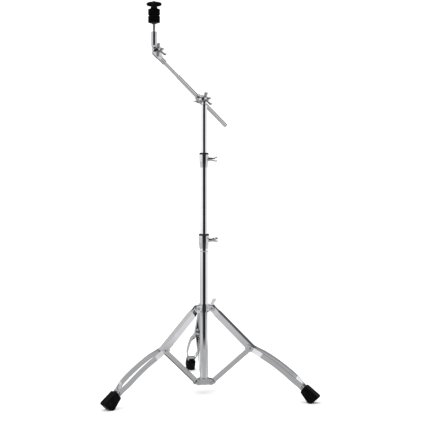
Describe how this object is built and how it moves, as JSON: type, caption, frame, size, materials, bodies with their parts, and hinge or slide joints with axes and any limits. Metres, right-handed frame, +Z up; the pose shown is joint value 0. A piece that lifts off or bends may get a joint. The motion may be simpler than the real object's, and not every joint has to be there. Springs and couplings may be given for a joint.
{
  "type": "boom cymbal stand",
  "caption": "Folding braced tripod with telescoping chrome tubes and a tilting boom that holds a cymbal between felts under a wing nut.",
  "frame": {"origin": "on the floor under the pole's centre line, at the level of the three soles", "axes": "+Z up along the pole; -Y faces the front; the boom leans over leg 1, at 218 degrees from +X about +Z"},
  "size_m": [0.6556, 0.6141, 1.2238],
  "materials": {
    "chrome": "bright chrome plate on steel and die-cast zinc",
    "steel": "zinc-plated steel",
    "black_plastic": "moulded black nylon",
    "rubber": "moulded black rubber",
    "felt": "pressed black wool felt"
  },
  "bodies": {
    "base": {"base_tube": "chrome", "base_end_plug": "black_plastic", "hub": "chrome", "hub_rivets": "steel", "lower_clamp_body": "chrome", "lower_clamp_bushing": "black_plastic"},
    "brace_1_link": {"brace_1": "chrome"},
    "brace_2_link": {"brace_2": "chrome"},
    "brace_3_link": {"brace_3": "chrome"},
    "leg_1": {"leg_1_channel": "chrome", "leg_1_near_strip": "chrome", "leg_1_far_strip": "chrome", "leg_1_rivets": "steel", "leg_1_elbow_washers": "steel", "leg_1_foot": "rubber"},
    "leg_2": {"leg_2_channel": "chrome", "leg_2_near_strip": "chrome", "leg_2_far_strip": "chrome", "leg_2_rivets": "steel", "leg_2_elbow_washers": "steel", "leg_2_foot": "rubber"},
    "leg_3": {"leg_3_channel": "chrome", "leg_3_near_strip": "chrome", "leg_3_far_strip": "chrome", "leg_3_rivets": "steel", "leg_3_elbow_washers": "steel", "leg_3_foot": "rubber"},
    "sliding_collar": {"collar": "chrome", "collar_rivets": "steel"},
    "collar_bolt": {"collar_wing_bolt": "chrome"},
    "lower_clamp_bolt": {"lower_clamp_wing_bolt": "chrome"},
    "upper_clamp_bolt": {"upper_clamp_wing_bolt": "chrome"},
    "middle_bush": {"middle_guide": "black_plastic"},
    "middle": {"middle_tube": "chrome", "upper_clamp_body": "chrome", "upper_clamp_bushing": "black_plastic"},
    "upper_bush": {"upper_guide": "black_plastic"},
    "upper": {"upper_tube": "chrome", "boom_tilter_base": "chrome"},
    "boom_holder": {"boom_clamp": "chrome", "pivot_stud": "steel", "pivot_washer": "steel"},
    "pivot_nut": {"pivot_wing_nut": "chrome"},
    "lock_bolt": {"boom_lock_bolt": "chrome"},
    "liner": {"boom_liner": "black_plastic"},
    "boom": {"boom_tube": "chrome", "boom_end_cap": "chrome", "boom_rod": "chrome", "lower_ratchet": "chrome"},
    "cymbal_arm": {"upper_ratchet": "chrome", "tilter_bolt": "chrome", "tilter_washer": "steel", "cymbal_rod": "steel", "cymbal_sleeve": "black_plastic", "cup_washer": "black_plastic"},
    "tilter_nut": {"tilter_wing_nut": "chrome"},
    "felt_below": {"lower_felt": "felt"},
    "felt_above": {"upper_felt": "felt"},
    "top_nut": {"top_wing_nut": "black_plastic"}
  },
  "joints": [
    {"name": "leg_fold", "type": "hinge", "parent": "base", "child": "brace_1_link", "pos_m": [-0.02206, -0.01724, 0.037], "axis": [-0.6157, 0.788, 0], "range_deg": [-6, 42]},
    {"name": "leg_1_elbow", "type": "hinge", "parent": "brace_1_link", "child": "leg_1", "pos_m": [-0.12372, -0.09666, 0.153], "axis": [-0.6157, 0.788, 0], "range_deg": [-84, 12]},
    {"name": "leg_1_top", "type": "hinge", "parent": "leg_1", "child": "sliding_collar", "pos_m": [-0.02206, -0.01724, 0.269], "axis": [-0.6157, 0.788, 0], "range_deg": [-6, 42]},
    {"name": "leg_2_top", "type": "hinge", "parent": "sliding_collar", "child": "leg_2", "pos_m": [0.02596, -0.01049, 0.269], "axis": [-0.3746, -0.9272, 0], "range_deg": [-42, 6]},
    {"name": "leg_3_top", "type": "hinge", "parent": "sliding_collar", "child": "leg_3", "pos_m": [-0.0039, 0.02773, 0.269], "axis": [0.9903, 0.1392, 0], "range_deg": [-42, 6]},
    {"name": "brace_2_fold", "type": "hinge", "parent": "base", "child": "brace_2_link", "pos_m": [0.02596, -0.01049, 0.037], "axis": [-0.3746, -0.9272, 0], "range_deg": [-6, 42]},
    {"name": "brace_3_fold", "type": "hinge", "parent": "base", "child": "brace_3_link", "pos_m": [-0.0039, 0.02773, 0.037], "axis": [0.9903, 0.1392, 0], "range_deg": [-6, 42]},
    {"name": "collar_bolt_turn", "type": "hinge", "parent": "sliding_collar", "child": "collar_bolt", "pos_m": [0.02128, 0.01662, 0.272], "axis": [0.788, 0.6157, 0], "range_deg": [0, 360]},
    {"name": "lower_clamp_bolt_turn", "type": "hinge", "parent": "base", "child": "lower_clamp_bolt", "pos_m": [0.0225, 0, 0.485], "axis": [1, 0, 0], "range_deg": [0, 360]},
    {"name": "upper_clamp_bolt_turn", "type": "hinge", "parent": "middle", "child": "upper_clamp_bolt", "pos_m": [0.021, 0, 0.742], "axis": [1, 0, 0], "range_deg": [0, 360]},
    {"name": "middle_height", "type": "slide", "parent": "base", "child": "middle_bush", "axis": [0, 0, 1], "range_m": [-0.2, 0.13]},
    {"name": "middle_swivel", "type": "hinge", "parent": "middle_bush", "child": "middle", "pos_m": [0, 0, 0.314], "axis": [0, 0, 1], "range_deg": [-180, 180]},
    {"name": "upper_height", "type": "slide", "parent": "middle", "child": "upper_bush", "axis": [0, 0, 1], "range_m": [-0.14, 0.13]},
    {"name": "upper_swivel", "type": "hinge", "parent": "upper_bush", "child": "upper", "pos_m": [0, 0, 0.572], "axis": [0, 0, 1], "range_deg": [-180, 180]},
    {"name": "boom_tilt", "type": "hinge", "parent": "upper", "child": "boom_holder", "pos_m": [0, 0, 0.932], "axis": [-0.6157, 0.788, 0], "range_deg": [-50, 43]},
    {"name": "pivot_nut_turn", "type": "hinge", "parent": "boom_holder", "child": "pivot_nut", "pos_m": [0, 0, 0.932], "axis": [0.6157, -0.788, 0], "range_deg": [0, 360]},
    {"name": "boom_lock_turn", "type": "hinge", "parent": "boom_holder", "child": "lock_bolt", "pos_m": [-0.01454, 0.029, 0.9272], "axis": [-0.6157, 0.788, 0], "range_deg": [0, 360]},
    {"name": "boom_roll", "type": "hinge", "parent": "boom_holder", "child": "liner", "pos_m": [-0.01231, 0.01576, 0.932], "axis": [-0.6302, -0.4923, 0.6004], "range_deg": [-90, 90]},
    {"name": "boom_reach", "type": "slide", "parent": "liner", "child": "boom", "axis": [-0.6302, -0.4923, 0.6004], "range_m": [-0.095, 0.1]},
    {"name": "cymbal_tilt", "type": "hinge", "parent": "boom", "child": "cymbal_arm", "pos_m": [-0.14464, -0.08763, 1.07309], "axis": [-0.6157, 0.788, 0], "range_deg": [-50, 50]},
    {"name": "tilter_nut_turn", "type": "hinge", "parent": "cymbal_arm", "child": "tilter_nut", "pos_m": [-0.14464, -0.08763, 1.07309], "axis": [0.6157, -0.788, 0], "range_deg": [0, 360]},
    {"name": "lower_felt_spin", "type": "hinge", "parent": "cymbal_arm", "child": "felt_below", "pos_m": [-0.15348, -0.08882, 1.16809], "axis": [0, 0, 1], "continuous": true},
    {"name": "upper_felt_lift", "type": "slide", "parent": "cymbal_arm", "child": "felt_above", "axis": [0, 0, 1], "range_m": [0, 0.0125]},
    {"name": "top_nut_turn", "type": "hinge", "parent": "felt_above", "child": "top_nut", "pos_m": [-0.15348, -0.08882, 1.19859], "axis": [0, 0, 1], "range_deg": [0, 3600]}
  ],
  "couplings": [
    {"joint": "leg_1_elbow", "follows": "leg_fold", "ratio": -2},
    {"joint": "leg_1_top", "follows": "leg_fold", "ratio": 1},
    {"joint": "leg_2_top", "follows": "leg_fold", "ratio": -1},
    {"joint": "leg_3_top", "follows": "leg_fold", "ratio": -1},
    {"joint": "brace_2_fold", "follows": "leg_fold", "ratio": 1},
    {"joint": "brace_3_fold", "follows": "leg_fold", "ratio": 1},
    {"joint": "upper_felt_lift", "follows": "top_nut_turn", "m_per_rad": 0.00019894}
  ]
}
